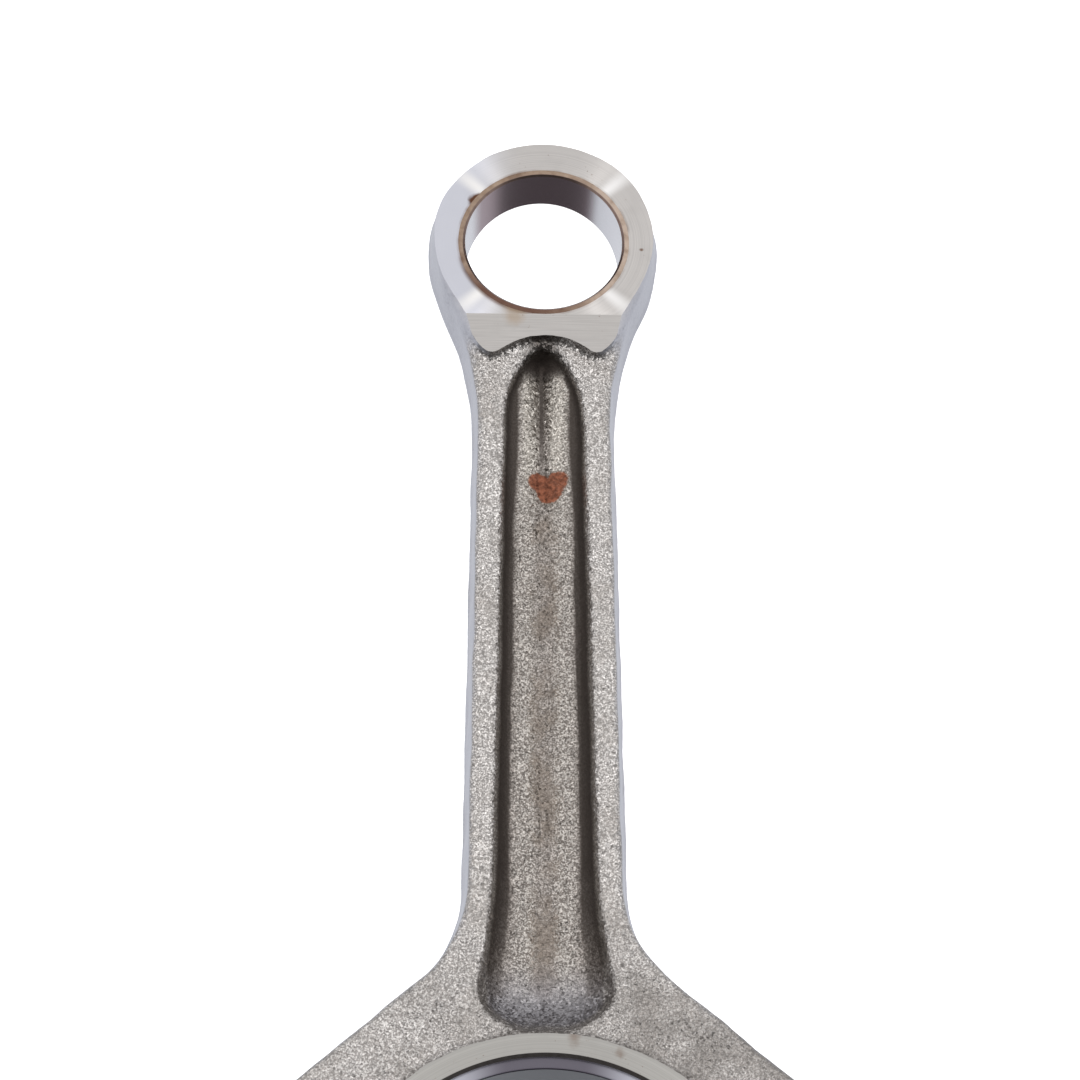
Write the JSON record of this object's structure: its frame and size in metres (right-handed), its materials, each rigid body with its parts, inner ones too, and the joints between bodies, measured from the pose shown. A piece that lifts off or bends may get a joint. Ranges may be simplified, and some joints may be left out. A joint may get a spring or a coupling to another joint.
{
  "type": "connecting rod",
  "caption": "Forged I-section connecting rod with a wedge-shaped small end, pressed bush, bolted bearing cap and plain bearing shells.",
  "frame": {"origin": "centre of the crank-pin bore on the forging's mid-plane", "axes": "+Y from the crank-pin bore to the gudgeon-pin bore, +Z along both bores, +X from screw to screw; the rod lies flat"},
  "size_m": [0.087, 0.2124, 0.0162],
  "materials": {
    "forged_steel": "shot-blasted forging skin with ground and turned faces",
    "bush_bronze": "turned bronze, stained brown at its edges",
    "shell_steel": "fine ground steel",
    "lining": "smooth bored aluminium-tin alloy",
    "screw_steel": "black oxide with rolled threads",
    "dowel_steel": "ground"
  },
  "bodies": {
    "rod": {"rod_body": "forged_steel", "small_end_bush": "bush_bronze", "upper_shell_back": "shell_steel", "upper_shell_lining": "lining", "dowel_left": "dowel_steel", "dowel_right": "dowel_steel"},
    "cap": {"bearing_cap": "forged_steel", "lower_shell_back": "shell_steel", "lower_shell_lining": "lining"},
    "screw_left": {"cap_screw_left": "screw_steel"},
    "screw_right": {"cap_screw_right": "screw_steel"}
  },
  "joints": [
    {"name": "cap_off", "type": "slide", "parent": "rod", "child": "cap", "axis": [0, -1, 0], "range_m": [0, 0.045]},
    {"name": "screw_left_out", "type": "slide", "parent": "cap", "child": "screw_left", "axis": [0, -1, 0], "range_m": [0, 0.045]},
    {"name": "screw_right_out", "type": "slide", "parent": "cap", "child": "screw_right", "axis": [0, -1, 0], "range_m": [0, 0.045]}
  ]
}
